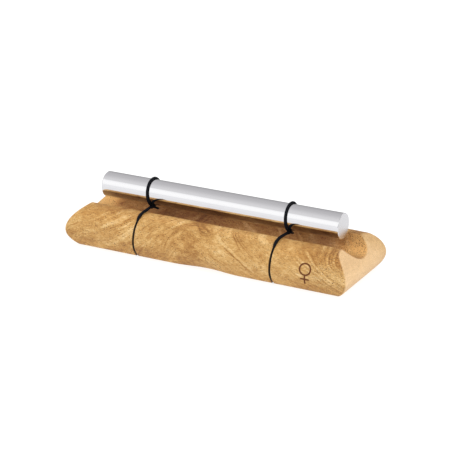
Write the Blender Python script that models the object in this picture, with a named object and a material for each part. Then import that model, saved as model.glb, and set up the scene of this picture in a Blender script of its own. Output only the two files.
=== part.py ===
"""Energy chime: a tuned metal rod slung on two cords over a hollowed hardwood block.

Lengths are in metres. X runs along the rod, -Y is the front, Z is up, and the block stands on Z = 0.
"""

import math

import bmesh
import bpy
import numpy as np
from mathutils import Matrix, Vector

MM = 0.001
SHARP_ANGLE = math.radians(35.0)  # edges sharper than this stay crisp

# Rod: a solid round bar, tuned by its length.
ROD_LENGTH = 122.0 * MM
ROD_DIAMETER = 12.0 * MM
ROD_EDGE_BREAK = 0.35 * MM
ROD_LIFT = 0.4 * MM  # underside of the rod above the top of the block
ROD_CENTRE_X = -0.6 * MM  # the rod is tied in a little to the left of the block's middle
ROD_SIDES = 64
ROD_EDGE_STEPS = 2

# Block: a bar that is longest and widest at its bulge, rolls in to the top and tucks in at the foot.
BLOCK_LENGTH = 144.2 * MM
BLOCK_WIDTH = 44.6 * MM
BLOCK_HEIGHT = 19.0 * MM
BULGE_HEIGHT = 7.8 * MM
SIDE_ROLL = 10.6 * MM  # how far each side comes in from the bulge to the top
FOOT_TUCK = 3.9 * MM  # how far each side comes in from the bulge to the foot
END_ROLL = 7.8 * MM  # the same at the ends
END_TUCK = 4.8 * MM
CORNER_RADIUS = 1.2 * MM
ROLL_LEVELS = 8
TUCK_LEVELS = 4
CORNER_STEPS = 4
FACE_STEPS = 30

# Shallow hollow sanded into the lower front.
HOLLOW_CENTRE_X = 1.0 * MM
HOLLOW_LENGTH = 34.0 * MM
HOLLOW_DEPTH = 1.8 * MM

# Trough: a round-bottomed groove along the whole top, under the rod.
TROUGH_RADIUS = 11.1 * MM
TROUGH_DEPTH = 6.4 * MM
TROUGH_SIDES = 64

# Kerfs: saw cuts round the front, underside and back that hold the cords.
SLING_SPACING = 70.4 * MM
KERF_WIDTH = 1.2 * MM
KERF_SIDE_DEPTH = 2.6 * MM
KERF_FOOT_DEPTH = 2.4 * MM
KERF_CORNER_RADIUS = 3.0 * MM
KERF_RUN_OUT = 7.0 * MM  # height above the bulge at which the cut comes out of the side
KERF_STEPS = 14
KERF_ROLL_STEPS = 42

# Cord: limp twine, squeezed a little thinner inside the kerf.
CORD_DIAMETER = 1.2 * MM
KERF_CLEARANCE = 0.15 * MM
CORD_SWELL = 1.5 * MM  # rise above the cut in which the squeezed cord is round again
SEAT_GAP = 0.3 * MM
CORD_STEP = 1.8 * MM
SPAN_STEP = 1.2 * MM
LOOP_STEPS = 48
LOOP_SIDES = 10
TUBE_RESOLUTION = 2

# Knot: turns drawn tight under the rod, towards the front, with two cut ends.
KNOT_ANGLE = math.radians(25.0)  # from straight below the rod
KNOT_DIAMETER = 2.5 * MM
KNOT_LENGTH = 2.6 * MM
KNOT_GAP = 0.45 * MM
KNOT_NECK = 1.6 * MM  # single cord that is still stiff from the knot
KNOT_WAIST_DEPTH = 0.2 * MM  # the crease between the two turns
KNOT_WAIST_LENGTH = 0.25 * MM
KNOT_STATIONS = 14
TAIL_DIAMETER = 1.0 * MM
TAIL_LENGTHS = (2.6 * MM, 1.9 * MM)
TAIL_DIRECTIONS = ((1.0, -0.22, -0.12), (1.0, 0.3, 0.1))

ROD_AXIS_HEIGHT = BLOCK_HEIGHT + ROD_LIFT + ROD_DIAMETER / 2
LOOP_RADIUS = ROD_DIAMETER / 2 + SEAT_GAP + CORD_DIAMETER / 2
TOP_HALF_WIDTH = BLOCK_WIDTH / 2 - SIDE_ROLL
TROUGH_HALF_WIDTH = math.sqrt(TROUGH_RADIUS**2 - (TROUGH_RADIUS - TROUGH_DEPTH) ** 2)
RIM_HALF_WIDTH = max(TOP_HALF_WIDTH, TROUGH_HALF_WIDTH)
CORD_IN_KERF = min(CORD_DIAMETER, KERF_WIDTH - 2 * KERF_CLEARANCE)
SIDES = {"left": -1, "right": 1}


def clear_scene():
    for old in list(bpy.data.objects):
        bpy.data.objects.remove(old, do_unlink=True)


def finish(name, colour, roughness, metallic=0.0):
    """A plain Principled material."""
    material = bpy.data.materials.new(name)
    material.use_nodes = True
    shader = material.node_tree.nodes["Principled BSDF"]
    shader.inputs["Base Color"].default_value = (*colour, 1.0)
    shader.inputs["Roughness"].default_value = roughness
    shader.inputs["Metallic"].default_value = metallic
    return material


def add_object(name, data, material=None, parent=None):
    made = bpy.data.objects.new(name, data)
    bpy.context.scene.collection.objects.link(made)
    if material:
        data.materials.append(material)
    made.parent = parent
    return made


def mesh_object(name, shape, material=None, parent=None):
    """An object from a bmesh, with its normals made to point out."""
    bmesh.ops.recalc_face_normals(shape, faces=shape.faces)
    mesh = bpy.data.meshes.new(name)
    shape.to_mesh(mesh)
    shape.free()
    mesh.shade_smooth()
    mesh.set_sharp_from_angle(angle=SHARP_ANGLE)
    return add_object(name, mesh, material, parent)


def loft(rings):
    """A closed bmesh through rings of equally many points, with a flat face on each end."""
    shape = bmesh.new()
    loops = [[shape.verts.new(point) for point in ring] for ring in rings]
    count = len(loops[0])
    for low, high in zip(loops, loops[1:]):
        for i in range(count):
            j = (i + 1) % count
            shape.faces.new((low[i], low[j], high[j], high[i]))
    shape.faces.new(loops[0])
    shape.faces.new(loops[-1])
    return shape


def as_cutter(made):
    made.hide_render = True
    made.display_type = "WIRE"
    return made


def combine(target, other, operation):
    modifier = target.modifiers.new(f"{operation.lower()} {other.name}", "BOOLEAN")
    modifier.operation = operation
    modifier.solver = "EXACT"
    modifier.object = as_cutter(other)


def half_width(z):
    """Half the block's width at a height: an elliptical roll above the bulge, a parabola below it."""
    if z >= BULGE_HEIGHT:
        rise = (z - BULGE_HEIGHT) / (BLOCK_HEIGHT - BULGE_HEIGHT)
        return BLOCK_WIDTH / 2 - SIDE_ROLL * (1 - math.sqrt(max(0.0, 1 - rise**2)))
    return BLOCK_WIDTH / 2 - FOOT_TUCK * (1 - z / BULGE_HEIGHT) ** 2


def half_length(z):
    """Half the block's length at a height: parabolas above and below the bulge."""
    if z >= BULGE_HEIGHT:
        rise = (z - BULGE_HEIGHT) / (BLOCK_HEIGHT - BULGE_HEIGHT)
        return BLOCK_LENGTH / 2 - END_ROLL * rise**2
    return BLOCK_LENGTH / 2 - END_TUCK * (1 - z / BULGE_HEIGHT) ** 2


def hollow(x, z):
    """How far the front is worn back: a cosine bell along X that fades from the foot to the bulge."""
    along = (x - HOLLOW_CENTRE_X) / (HOLLOW_LENGTH / 2)
    if abs(along) >= 1 or z >= BULGE_HEIGHT:
        return 0.0
    return HOLLOW_DEPTH * (0.5 + 0.5 * math.cos(math.pi * along)) * (1 - z / BULGE_HEIGHT) ** 2


def block_outline(z):
    """The block's outline at one height: a rectangle with round corners, front face first."""
    a = half_length(z) - CORNER_RADIUS
    b = half_width(z) - CORNER_RADIUS
    points = []
    for corner, (sx, sy) in enumerate(((1, -1), (1, 1), (-1, 1), (-1, -1))):
        for step in range(CORNER_STEPS + 1):
            angle = math.radians(90.0 * (corner - 1 + step / CORNER_STEPS))
            x = sx * a + CORNER_RADIUS * math.cos(angle)
            y = sy * b + CORNER_RADIUS * math.sin(angle)
            points.append((x, y, z))
    for step in range(1, FACE_STEPS):
        x = a * (2 * step / FACE_STEPS - 1)
        points.append((x, hollow(x, z) - half_width(z), z))
    return points


def trough_cutter():
    shape = bmesh.new()
    bmesh.ops.create_cone(
        shape,
        cap_ends=True,
        segments=TROUGH_SIDES,
        radius1=TROUGH_RADIUS,
        radius2=TROUGH_RADIUS,
        depth=2 * BLOCK_LENGTH,
        matrix=Matrix.Rotation(math.pi / 2, 4, "Y"),
    )
    cutter = mesh_object("trough_cutter", shape)
    cutter.location.z = BLOCK_HEIGHT - TROUGH_DEPTH + TROUGH_RADIUS
    return cutter


def kerf_floor():
    """The front half of the kerf's floor as (distance from the middle, height) points.

    It runs from the middle of the underside, round a corner and up the side. Above the bulge the depth
    fades out by a smooth step, and the points then follow the side's own roll to the rim of the trough.
    """
    side = BLOCK_WIDTH / 2 - KERF_SIDE_DEPTH
    turn = (side - KERF_CORNER_RADIUS, KERF_FOOT_DEPTH + KERF_CORNER_RADIUS)
    points = [(turn[0] * i / KERF_STEPS, KERF_FOOT_DEPTH) for i in range(KERF_STEPS)]
    for i in range(KERF_STEPS + 1):
        angle = 0.5 * math.pi * (i / KERF_STEPS - 1)
        across = turn[0] + KERF_CORNER_RADIUS * math.cos(angle)
        points.append((across, turn[1] + KERF_CORNER_RADIUS * math.sin(angle)))
    if turn[1] < BULGE_HEIGHT:
        points.append((side, BULGE_HEIGHT))
    above = BLOCK_HEIGHT - BULGE_HEIGHT
    rim_angle = math.acos(min(1.0, (RIM_HALF_WIDTH - TOP_HALF_WIDTH) / SIDE_ROLL))
    for i in range(1, KERF_ROLL_STEPS + 1):
        rise = above * math.sin(rim_angle * i / KERF_ROLL_STEPS)
        if BULGE_HEIGHT + rise <= turn[1]:
            continue
        left = max(0.0, 1 - rise / KERF_RUN_OUT)
        depth = KERF_SIDE_DEPTH * left**2 * (3 - 2 * left)
        points.append((half_width(BULGE_HEIGHT + rise) - depth, BULGE_HEIGHT + rise))
    return points


def kerf_cutter(name, x):
    """A thin plate round the outside of the kerf's floor, as thick as the saw cut.

    Where the cut runs out, its inner edge goes straight up, clear of the side that rolls in.
    """
    floor = [point for point in kerf_floor() if point[1] < BULGE_HEIGHT + KERF_RUN_OUT]
    reach = BLOCK_WIDTH
    top = 2 * BLOCK_HEIGHT
    half = floor + [(floor[-1][0], top)]
    inner = [(-across, z) for across, z in half[:0:-1]] + half
    outer = [(reach, top), (reach, -BLOCK_HEIGHT), (-reach, -BLOCK_HEIGHT), (-reach, top)]
    faces = [x - KERF_WIDTH / 2, x + KERF_WIDTH / 2]
    return mesh_object(name, loft([[(at, y, z) for y, z in inner + outer] for at in faces]))


def make_block(material):
    rises = [math.sin(0.5 * math.pi * i / ROLL_LEVELS) for i in range(1, ROLL_LEVELS + 1)]
    levels = [BULGE_HEIGHT * i / TUCK_LEVELS for i in range(TUCK_LEVELS + 1)]
    levels += [BULGE_HEIGHT + (BLOCK_HEIGHT - BULGE_HEIGHT) * rise for rise in rises]
    block = mesh_object("base_block", loft([block_outline(z) for z in levels]), material)
    combine(block, trough_cutter(), "DIFFERENCE")
    for side, sign in SIDES.items():
        combine(block, kerf_cutter(f"{side}_kerf_cutter", sign * SLING_SPACING / 2), "DIFFERENCE")


def make_rod(material, parent):
    shape = bmesh.new()
    bmesh.ops.create_cone(
        shape,
        cap_ends=True,
        segments=ROD_SIDES,
        radius1=ROD_DIAMETER / 2,
        radius2=ROD_DIAMETER / 2,
        depth=ROD_LENGTH,
        matrix=Matrix.Rotation(math.pi / 2, 4, "Y"),
    )
    rod = mesh_object("chime_rod", shape, material, parent)
    rod.location.x = ROD_CENTRE_X
    bevel = rod.modifiers.new("edge break", "BEVEL")
    bevel.width = ROD_EDGE_BREAK
    bevel.segments = ROD_EDGE_STEPS
    bevel.limit_method = "ANGLE"


def even_steps(points, step):
    """The points of a line read again at even distances of about one step."""
    points = np.asarray(points, float)
    along = np.concatenate([[0.0], np.cumsum(np.linalg.norm(np.diff(points, axis=0), axis=1))])
    places = np.linspace(0.0, along[-1], max(2, round(along[-1] / step) + 1))
    return np.stack([np.interp(places, along, column) for column in points.T], axis=1)


def cord_tube(name, points, radii, material):
    """A round tube through the points, as a bevelled curve with filled ends."""
    curve = bpy.data.curves.new(name, "CURVE")
    curve.dimensions = "3D"
    curve.bevel_depth = 1.0
    curve.bevel_resolution = TUBE_RESOLUTION
    curve.use_fill_caps = True
    spline = curve.splines.new("POLY")
    spline.points.add(len(points) - 1)
    for slot, point, radius in zip(spline.points, points, radii):
        slot.co = (*point, 1.0)
        slot.radius = radius
    return add_object(name, curve, material)


def wrap_line():
    """The wrapped cord's middle line from the front rim, under the block, to the rear rim.

    Returns (y, z, radius) rows. Each point of the kerf's floor is moved out along its normal by the cord's
    own radius and the seat gap. The radius grows from the squeezed one to the full one above the cut.
    """
    floor = np.array(kerf_floor())
    normal = np.gradient(floor, axis=0)[:, ::-1] * (1, -1)
    normal[0] = (0, -1)
    normal /= np.linalg.norm(normal, axis=1)[:, None]
    free = np.clip((floor[:, 1] - BULGE_HEIGHT - KERF_RUN_OUT) / CORD_SWELL, 0.0, 1.0)
    radius = 0.5 * (CORD_IN_KERF + (CORD_DIAMETER - CORD_IN_KERF) * free)
    line = floor + normal * (radius + SEAT_GAP)[:, None]
    half = np.column_stack([line, radius])
    front = half[:0:-1] * (-1, 1, 1)
    return even_steps(np.concatenate([front, half]), CORD_STEP)


def knot_place():
    """The front knot's middle, its axis towards the rim, and where wrap and span meet, as (y, z) pairs."""
    reach = ROD_DIAMETER / 2 + KNOT_GAP + KNOT_DIAMETER / 2
    middle = np.array([-reach * math.sin(KNOT_ANGLE), ROD_AXIS_HEIGHT - reach * math.cos(KNOT_ANGLE)])
    rim = wrap_line()[0, :2]
    return middle, (rim - middle) / np.linalg.norm(rim - middle), rim


def make_span(name, x, facing, material):
    """The stretch from the rim to the knot's neck, level at the rim.

    It is a cubic with handles of a half and a quarter of its reach. Facing is 1 at the front, -1 at the rear.
    """
    middle, axis, rim = knot_place()
    neck = middle + axis * (KNOT_LENGTH / 2 + KNOT_NECK + SEAT_GAP)
    start = rim + (SEAT_GAP, 0.0)
    reach = np.linalg.norm(neck - start)
    t = np.linspace(0.0, 1.0, max(3, round(reach / SPAN_STEP) + 1))[:, None]
    level = start + (reach / 2, 0.0)
    drawn = neck + axis * reach / 4
    line = (1 - t) ** 3 * start + 3 * t * (1 - t) ** 2 * level + 3 * t**2 * (1 - t) * drawn + t**3 * neck
    points = [(x, facing * y, z) for y, z in line]
    cord_tube(name, points, [CORD_DIAMETER / 2] * len(points), material)


def knot_mesh(name, x, facing, parent):
    """A barrel of two turns with a crease between them and a neck of single cord, turned about the span."""
    middle, axis, _ = knot_place()
    stations = [(KNOT_LENGTH / 2 + KNOT_NECK, CORD_DIAMETER / 2)]
    for i in range(KNOT_STATIONS + 1):
        share = 1 - 2 * i / KNOT_STATIONS
        along = share * KNOT_LENGTH / 2
        barrel = KNOT_DIAMETER / 2 * math.sqrt(1 - share**2)
        crease = KNOT_WAIST_DEPTH * math.exp(-((along / KNOT_WAIST_LENGTH) ** 2))
        stations.append((along, max(CORD_DIAMETER / 2, barrel - crease)))
    out = Vector((0.0, facing * axis[0], axis[1]))
    up = Vector((1.0, 0.0, 0.0)).cross(out)
    centre = Vector((x, facing * middle[0], middle[1] - ROD_AXIS_HEIGHT))
    rings = []
    for along, radius in stations:
        turns = [2 * math.pi * k / LOOP_SIDES for k in range(LOOP_SIDES)]
        spokes = [up * math.sin(turn) + Vector((math.cos(turn), 0, 0)) for turn in turns]
        rings.append([centre + out * along + radius * spoke for spoke in spokes])
    return mesh_object(name, loft(rings), parent=parent)


def tail_mesh(name, x, length, direction, parent):
    """A cut end of cord that starts inside the knot."""
    middle = knot_place()[0]
    out = Vector(direction).normalized()
    shape = bmesh.new()
    bmesh.ops.create_cone(
        shape,
        cap_ends=True,
        segments=LOOP_SIDES,
        radius1=TAIL_DIAMETER / 2,
        radius2=TAIL_DIAMETER / 2,
        depth=length + KNOT_DIAMETER / 4,
        matrix=out.to_track_quat("Z", "Y").to_matrix().to_4x4(),
    )
    tail = mesh_object(name, shape, parent=parent)
    start = Vector((x, middle[0], middle[1] - ROD_AXIS_HEIGHT))
    tail.location = start + out * (KNOT_DIAMETER / 4 + length / 2)
    return tail


def make_loop(side, x, material, parent):
    """The cord round the rod with its front knot, cut ends and rear knot, which are one unbroken cord."""
    shape = bmesh.new()
    section = [2 * math.pi * k / LOOP_SIDES for k in range(LOOP_SIDES)]
    rings = []
    for i in range(LOOP_STEPS):
        turn = 2 * math.pi * i / LOOP_STEPS
        out = Vector((0.0, math.cos(turn), math.sin(turn)))
        middle = Vector((x, 0.0, 0.0)) + LOOP_RADIUS * out
        spokes = [out * math.cos(angle) + Vector((math.sin(angle), 0, 0)) for angle in section]
        rings.append([shape.verts.new(middle + CORD_DIAMETER / 2 * spoke) for spoke in spokes])
    for i in range(LOOP_STEPS):
        first, second = rings[i], rings[(i + 1) % LOOP_STEPS]
        for k in range(LOOP_SIDES):
            m = (k + 1) % LOOP_SIDES
            shape.faces.new((first[k], first[m], second[m], second[k]))
    loop = mesh_object(f"{side}_rod_loop", shape, material, parent)
    combine(loop, knot_mesh(f"{side}_front_knot_form", x, 1, parent), "UNION")
    combine(loop, knot_mesh(f"{side}_rear_knot_form", x, -1, parent), "UNION")
    for number, (length, direction) in enumerate(zip(TAIL_LENGTHS, TAIL_DIRECTIONS), 1):
        combine(loop, tail_mesh(f"{side}_tail_form_{number}", x, length, direction, parent), "UNION")


def make_cords(material, sling):
    line = wrap_line()
    for side, sign in SIDES.items():
        x = sign * SLING_SPACING / 2
        cord_tube(f"{side}_cord_wrap", [(x, y, z) for y, z, _ in line], line[:, 2], material)
        make_span(f"{side}_front_span", x, 1, material)
        make_span(f"{side}_rear_span", x, -1, material)
        make_loop(side, x, material, sling)


clear_scene()
wood = finish("oiled hardwood", (0.62, 0.39, 0.17), 0.55)
metal = finish("polished aluminium", (0.86, 0.86, 0.88), 0.18, 1.0)
twine = finish("black twine", (0.012, 0.013, 0.017), 0.8)

sling_centre = bpy.data.objects.new("sling_centre", None)
bpy.context.scene.collection.objects.link(sling_centre)
sling_centre.location.z = ROD_AXIS_HEIGHT

make_block(wood)
make_rod(metal, sling_centre)
make_cords(twine, sling_centre)
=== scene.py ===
"""An energy chime on a pale studio floor: a polished rod slung on black cords over a hardwood block."""

import bpy
import numpy as np
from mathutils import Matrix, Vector


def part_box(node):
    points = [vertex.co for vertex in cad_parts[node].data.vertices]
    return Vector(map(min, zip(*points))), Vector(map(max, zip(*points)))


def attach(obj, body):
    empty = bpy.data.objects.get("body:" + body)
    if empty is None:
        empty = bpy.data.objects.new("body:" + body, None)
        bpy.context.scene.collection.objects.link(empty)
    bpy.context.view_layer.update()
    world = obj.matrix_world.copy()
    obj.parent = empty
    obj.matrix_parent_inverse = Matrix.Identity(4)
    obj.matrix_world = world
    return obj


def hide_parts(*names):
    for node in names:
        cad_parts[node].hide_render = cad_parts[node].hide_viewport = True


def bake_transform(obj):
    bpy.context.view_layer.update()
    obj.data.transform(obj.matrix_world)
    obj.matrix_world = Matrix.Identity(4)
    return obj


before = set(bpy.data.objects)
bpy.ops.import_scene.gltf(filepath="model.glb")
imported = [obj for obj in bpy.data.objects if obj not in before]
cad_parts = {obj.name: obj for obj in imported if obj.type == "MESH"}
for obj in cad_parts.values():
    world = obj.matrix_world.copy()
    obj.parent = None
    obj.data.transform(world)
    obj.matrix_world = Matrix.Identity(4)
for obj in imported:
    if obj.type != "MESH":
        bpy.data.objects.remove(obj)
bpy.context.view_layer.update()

# The block: one bar of figured hardwood, sawn and sanded to a rolled soap-bar shape, then oiled.
# A round-nosed cutter runs the trough along its top, a saw cuts two kerfs round its sides and
# underside for the cords, and a hot stamp burns a planet sign, a ring over a cross, into its front.
MM = 0.001
# Sizes are in millimetres, and points become metres when a mesh is made of them.
block_low, block_high = (np.array(corner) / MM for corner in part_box("base_block"))
BLOCK_LENGTH, BLOCK_WIDTH, BLOCK_HEIGHT = block_high - block_low
BULGE_HEIGHT = 7.8
SIDE_ROLL = 10.6
FOOT_TUCK = 3.9
END_ROLL = 7.8
END_TUCK = 4.8
END_EDGE = 0.9
END_REACH = 12.0
END_LINE_HEIGHT = 6.5
END_LINE_SHARE = 0.62
END_SHRINK = 0.92
END_GRAIN_TURN = (0.35, 1.05)
TROUGH_RADIUS = 11.1
TROUGH_DEPTH = 6.4
TROUGH_EDGE = (-0.1, 0.35)
HOLLOW_CENTRE_X = 1.0
HOLLOW_LENGTH = 34.0
HOLLOW_DEPTH = 1.8
HOLLOW_START_Y = 6.0
HOLLOW_CORNER = 1.0
EDGE_EASE = 0.28
SANDED_WAVE = 0.1
WAVE_ALONG = 0.13
WAVE_ROUND = 0.21
WAVE_SLANT = 0.05
WAVE_PHASES = (0.9, 2.0)
WAVE_START_Z = (1.5, 6.0)
CORD_PLANES = {"left": -34.9, "right": 35.1}
KERF_SIDE_DEPTH = 1.6
KERF_FOOT_DEPTH = 2.4
KERF_CORNER = 4.5
KERF_FADE = 7.0
KERF_RUN_OUT = 10.8
SIGN_X = 52.2
SIGN_HEIGHT = 11.1
SIGN_RADIUS = 2.6
SIGN_STEM = 4.1
SIGN_BAR = 3.6
SIGN_BAR_DROP = 2.0
SIGN_LINE = 0.77
SIGN_DEPTH = 0.16
SIGN_FLOOR = 0.1
SIGN_LIP = 0.05
BURN_EDGE = 0.09


def side_half_width(z):
    """Half the width at a height: an elliptical roll above the bulge, a parabola that tucks in below it."""
    rise = np.clip((z - BULGE_HEIGHT) / (BLOCK_HEIGHT - BULGE_HEIGHT), 0, 1)
    fall = np.clip(1 - z / BULGE_HEIGHT, 0, 1)
    return BLOCK_WIDTH / 2 - SIDE_ROLL * (1 - np.sqrt(1 - rise**2)) - FOOT_TUCK * fall**2


def end_half_length(z):
    """Half the length at a height: parabolas above and below the bulge."""
    rise = np.clip((z - BULGE_HEIGHT) / (BLOCK_HEIGHT - BULGE_HEIGHT), 0, 1)
    fall = np.clip(1 - z / BULGE_HEIGHT, 0, 1)
    return BLOCK_LENGTH / 2 - END_ROLL * rise**2 - END_TUCK * fall**2


def smooth_step(value, start, end):
    """0 before start, 1 after end, and a cubic ease between them."""
    t = np.clip((value - start) / (end - start), 0, 1)
    return t * t * (3 - 2 * t)


def run_length(line):
    """Distance along a line of points, from its first point."""
    return np.concatenate([[0.0], np.cumsum(np.linalg.norm(np.diff(line, axis=0), axis=1))])


def read_line(line, places):
    """Points of a line at given distances along it."""
    along = run_length(line)
    return np.stack([np.interp(places, along, column) for column in line.T], axis=-1)


def even_line(line, step):
    """The same line with points one step apart."""
    total = run_length(line)[-1]
    return read_line(line, np.linspace(0, total, int(total / step) + 1))


def softened(line, step, width, count, ends):
    """A line of even steps with its corners eased.

    Each point becomes the mean of count points on either side of it, weighted by a bell of the given width.
    Ends says how the line goes on past its ends: wrap on a closed line, edge on an open one.
    """
    padded = np.pad(line, ((count, count), (0, 0)), ends)
    window = np.exp(-0.5 * (np.arange(-count, count + 1) * step / width) ** 2)
    window /= window.sum()
    return np.stack([np.convolve(column, window, "valid") for column in padded.T], axis=-1)


def normals(tangents):
    """Unit vectors out of the block, square to the tangents of a (y, z) line that climbs its front."""
    out = tangents[:, ::-1] * (-1, 1)
    return out / np.linalg.norm(out, axis=1)[:, None]


def crowded(start, end, step, zones):
    """Places from start to end, one step apart, and closer in each zone (from, to, its own step)."""
    fine = np.linspace(start, end, 20001)
    rate = np.full(fine.size, 1 / step)
    for zone_start, zone_end, zone_step in zones:
        inside = (fine >= zone_start) & (fine <= zone_end)
        rate = np.where(inside, np.maximum(rate, 1 / zone_step), rate)
    count = np.concatenate([[0.0], np.cumsum(0.5 * (rate[1:] + rate[:-1]) * np.diff(fine))])
    return np.interp(np.linspace(0, count[-1], int(count[-1]) + 1), count, fine)


# Half of the cross-section, from the middle of the underside round the front to the floor of the trough.
trough_half_width = np.sqrt(TROUGH_RADIUS**2 - (TROUGH_RADIUS - TROUGH_DEPTH) ** 2)
foot_half_width = float(side_half_width(0.0))
share = np.linspace(0, 1, 400)
side_heights = np.concatenate(
    [BULGE_HEIGHT * share[:-1], BULGE_HEIGHT + (BLOCK_HEIGHT - BULGE_HEIGHT) * np.sin(0.5 * np.pi * share)]
)
trough_turn = np.arcsin(trough_half_width / TROUGH_RADIUS) * (1 - share)
trough_centre = (0, BLOCK_HEIGHT - TROUGH_DEPTH + TROUGH_RADIUS)
half_section = np.concatenate(
    [
        [(0.0, 0.0)],
        np.stack([-side_half_width(side_heights), side_heights], axis=-1),
        np.stack([-np.sin(trough_turn), -np.cos(trough_turn)], axis=-1) * TROUGH_RADIUS + trough_centre,
    ]
)

# The whole closed section, with its corners eased.
SECTION_STEP = 0.05
SECTION_EASE_POINTS = 60
section = even_line(np.concatenate([half_section, half_section[-2::-1] * (-1, 1)]), SECTION_STEP)[:-1]
section = softened(section, SECTION_STEP, EDGE_EASE, SECTION_EASE_POINTS, "wrap")
section[:, 1] -= section[:, 1].min()
closed = np.concatenate([section, section[:1]])
around_total = run_length(closed)[-1]

# Where the rim, the sign and the upper end of a kerf lie along the section.
half_run = run_length(half_section)
rim_corner = half_run[-share.size]
front = slice(0, len(half_section) - share.size)
sign_run = np.interp(SIGN_HEIGHT, half_section[front, 1], half_run[front])
run_out_run = np.interp(BULGE_HEIGHT + KERF_RUN_OUT, half_section[front, 1], half_run[front])

# Places round the section, crowded at its corners and at the sign.
PLAIN_STEP = 0.85
FINE_STEP = 0.14
CORNER_ZONE = 1.0
SIGN_MARGIN = 0.5
TANGENT_STEP = 0.02
corners = [foot_half_width, rim_corner, around_total - rim_corner, around_total - foot_half_width]
zones = [(corner - CORNER_ZONE, corner + CORNER_ZONE, FINE_STEP) for corner in corners]
sign_foot = sign_run - SIGN_RADIUS - SIGN_STEM
zones.append((sign_foot - SIGN_MARGIN, sign_run + SIGN_RADIUS + SIGN_MARGIN, FINE_STEP))
around = crowded(0, around_total, PLAIN_STEP, zones)[:-1]
ring = read_line(closed, around)
ahead_of_ring = read_line(closed, (around + TANGENT_STEP) % around_total)
behind_ring = read_line(closed, (around - TANGENT_STEP) % around_total)
outward = normals(ahead_of_ring - behind_ring)
mirrored_run = np.minimum(around, around_total - around)

# Stations along the block, crowded at the sign and listed across each kerf. The kerf's profile gives
# the share of its depth at a distance from its middle.
KERF_PROFILE = {0.68: 0.0, 0.57: 0.012, 0.5: 0.05, 0.47: 1.0, 0.22: 1.0, 0.0: 1.0}
KERF_ROOM = 1.0
sign_columns = (SIGN_X - SIGN_RADIUS - SIGN_MARGIN, SIGN_X + SIGN_RADIUS + SIGN_MARGIN, FINE_STEP)
stations = crowded(-BLOCK_LENGTH / 2, BLOCK_LENGTH / 2, PLAIN_STEP, [sign_columns])
offsets = np.array(sorted({sign * place for place in KERF_PROFILE for sign in (-1, 1)}))
for plane in CORD_PLANES.values():
    stations = np.concatenate([stations[abs(stations - plane) > KERF_ROOM], plane + offsets])
stations = np.sort(stations)
kerf_places = np.array(sorted(KERF_PROFILE))
kerf_depths = np.array([KERF_PROFILE[place] for place in kerf_places])
from_kerf = np.min([abs(stations - plane) for plane in CORD_PLANES.values()], axis=0)
cut = np.interp(from_kerf, kerf_places, kerf_depths)


def kerf_floor_line():
    """Half of the kerf's floor: from under the middle, round a corner, up the side and out at its end."""
    side = BLOCK_WIDTH / 2 - KERF_SIDE_DEPTH
    turn = np.linspace(-0.5 * np.pi, 0, 40)
    corner_y = side - KERF_CORNER + KERF_CORNER * np.cos(turn)
    corner_z = KERF_FOOT_DEPTH + KERF_CORNER * (1 + np.sin(turn))
    heights = np.linspace(BULGE_HEIGHT, BULGE_HEIGHT + KERF_RUN_OUT, 60)
    fade = smooth_step(heights, BULGE_HEIGHT + KERF_FADE, BULGE_HEIGHT + KERF_RUN_OUT)
    depth = KERF_SIDE_DEPTH * (1 - fade)
    y = np.concatenate([[0.0], corner_y, side_half_width(heights) - depth])
    z = np.concatenate([[KERF_FOOT_DEPTH], corner_z, heights])
    return np.stack([-y, z], axis=-1)


# The kerf's floor at each place round the section, and the section itself past the kerf's upper end.
floor_line = kerf_floor_line()
floor_share = np.clip(mirrored_run / run_out_run, 0, 1)
kerf_floor = read_line(floor_line, floor_share * run_length(floor_line)[-1])
kerf_floor[:, 0] *= np.where(around > around_total / 2, -1, 1)
kerf_floor = np.where((mirrored_run < run_out_run)[:, None], kerf_floor, ring)


def line_distance(x, run, start, end):
    """Distance on the unrolled front from points to a straight stroke between two points."""
    stroke = np.subtract(end, start)
    along = ((x - start[0]) * stroke[0] + (run - start[1]) * stroke[1]) / (stroke @ stroke)
    along = np.clip(along, 0, 1)
    return np.hypot(x - start[0] - along * stroke[0], run - start[1] - along * stroke[1])


def sign_distance(x, run):
    """Distance to the sign's middle line: a circle, a stem below it and a bar across the stem."""
    foot = sign_run - SIGN_RADIUS
    circle = abs(np.hypot(x - SIGN_X, run - sign_run) - SIGN_RADIUS)
    stem = line_distance(x, run, (SIGN_X, foot), (SIGN_X, foot - SIGN_STEM))
    bar_run = foot - SIGN_BAR_DROP
    bar = line_distance(x, run, (SIGN_X - SIGN_BAR / 2, bar_run), (SIGN_X + SIGN_BAR / 2, bar_run))
    return np.minimum(circle, np.minimum(stem, bar))


# The mask of painted shade in the kerfs starts at a share of the kerf's depth and stops short of its upper
# end.
KERF_SHADE_LEAST = 0.03
KERF_SHADE_SHORT = 0.3

# Turns round an end's edge, and the shares by which the end's face then shrinks towards a line.
edge_turn = np.linspace(0, 0.5 * np.pi, 7)[1:, None]
face_shrink = np.linspace(0, END_SHRINK, 16)[1:, None]


def end_rings(sign, last):
    """Rings past the last station: a quarter circle round the end's edge, then a face shrunk to a line."""
    edge_y = last[:, 1] - outward[:, 0] * END_EDGE * (1 - np.cos(edge_turn))
    edge_z = last[:, 2] - outward[:, 1] * END_EDGE * (1 - np.cos(edge_turn))
    edge_x = end_half_length(edge_z) - END_EDGE * (1 - np.sin(edge_turn))
    face_y = edge_y[-1] + face_shrink * (END_LINE_SHARE * edge_y[-1] - edge_y[-1])
    face_z = edge_z[-1] + face_shrink * (END_LINE_HEIGHT - edge_z[-1])
    rows_x = np.concatenate([edge_x, end_half_length(face_z)])
    rows_y = np.concatenate([edge_y, face_y])
    rows_z = np.concatenate([edge_z, face_z])
    return np.stack([sign * rows_x, rows_y, rows_z], axis=-1)


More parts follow.
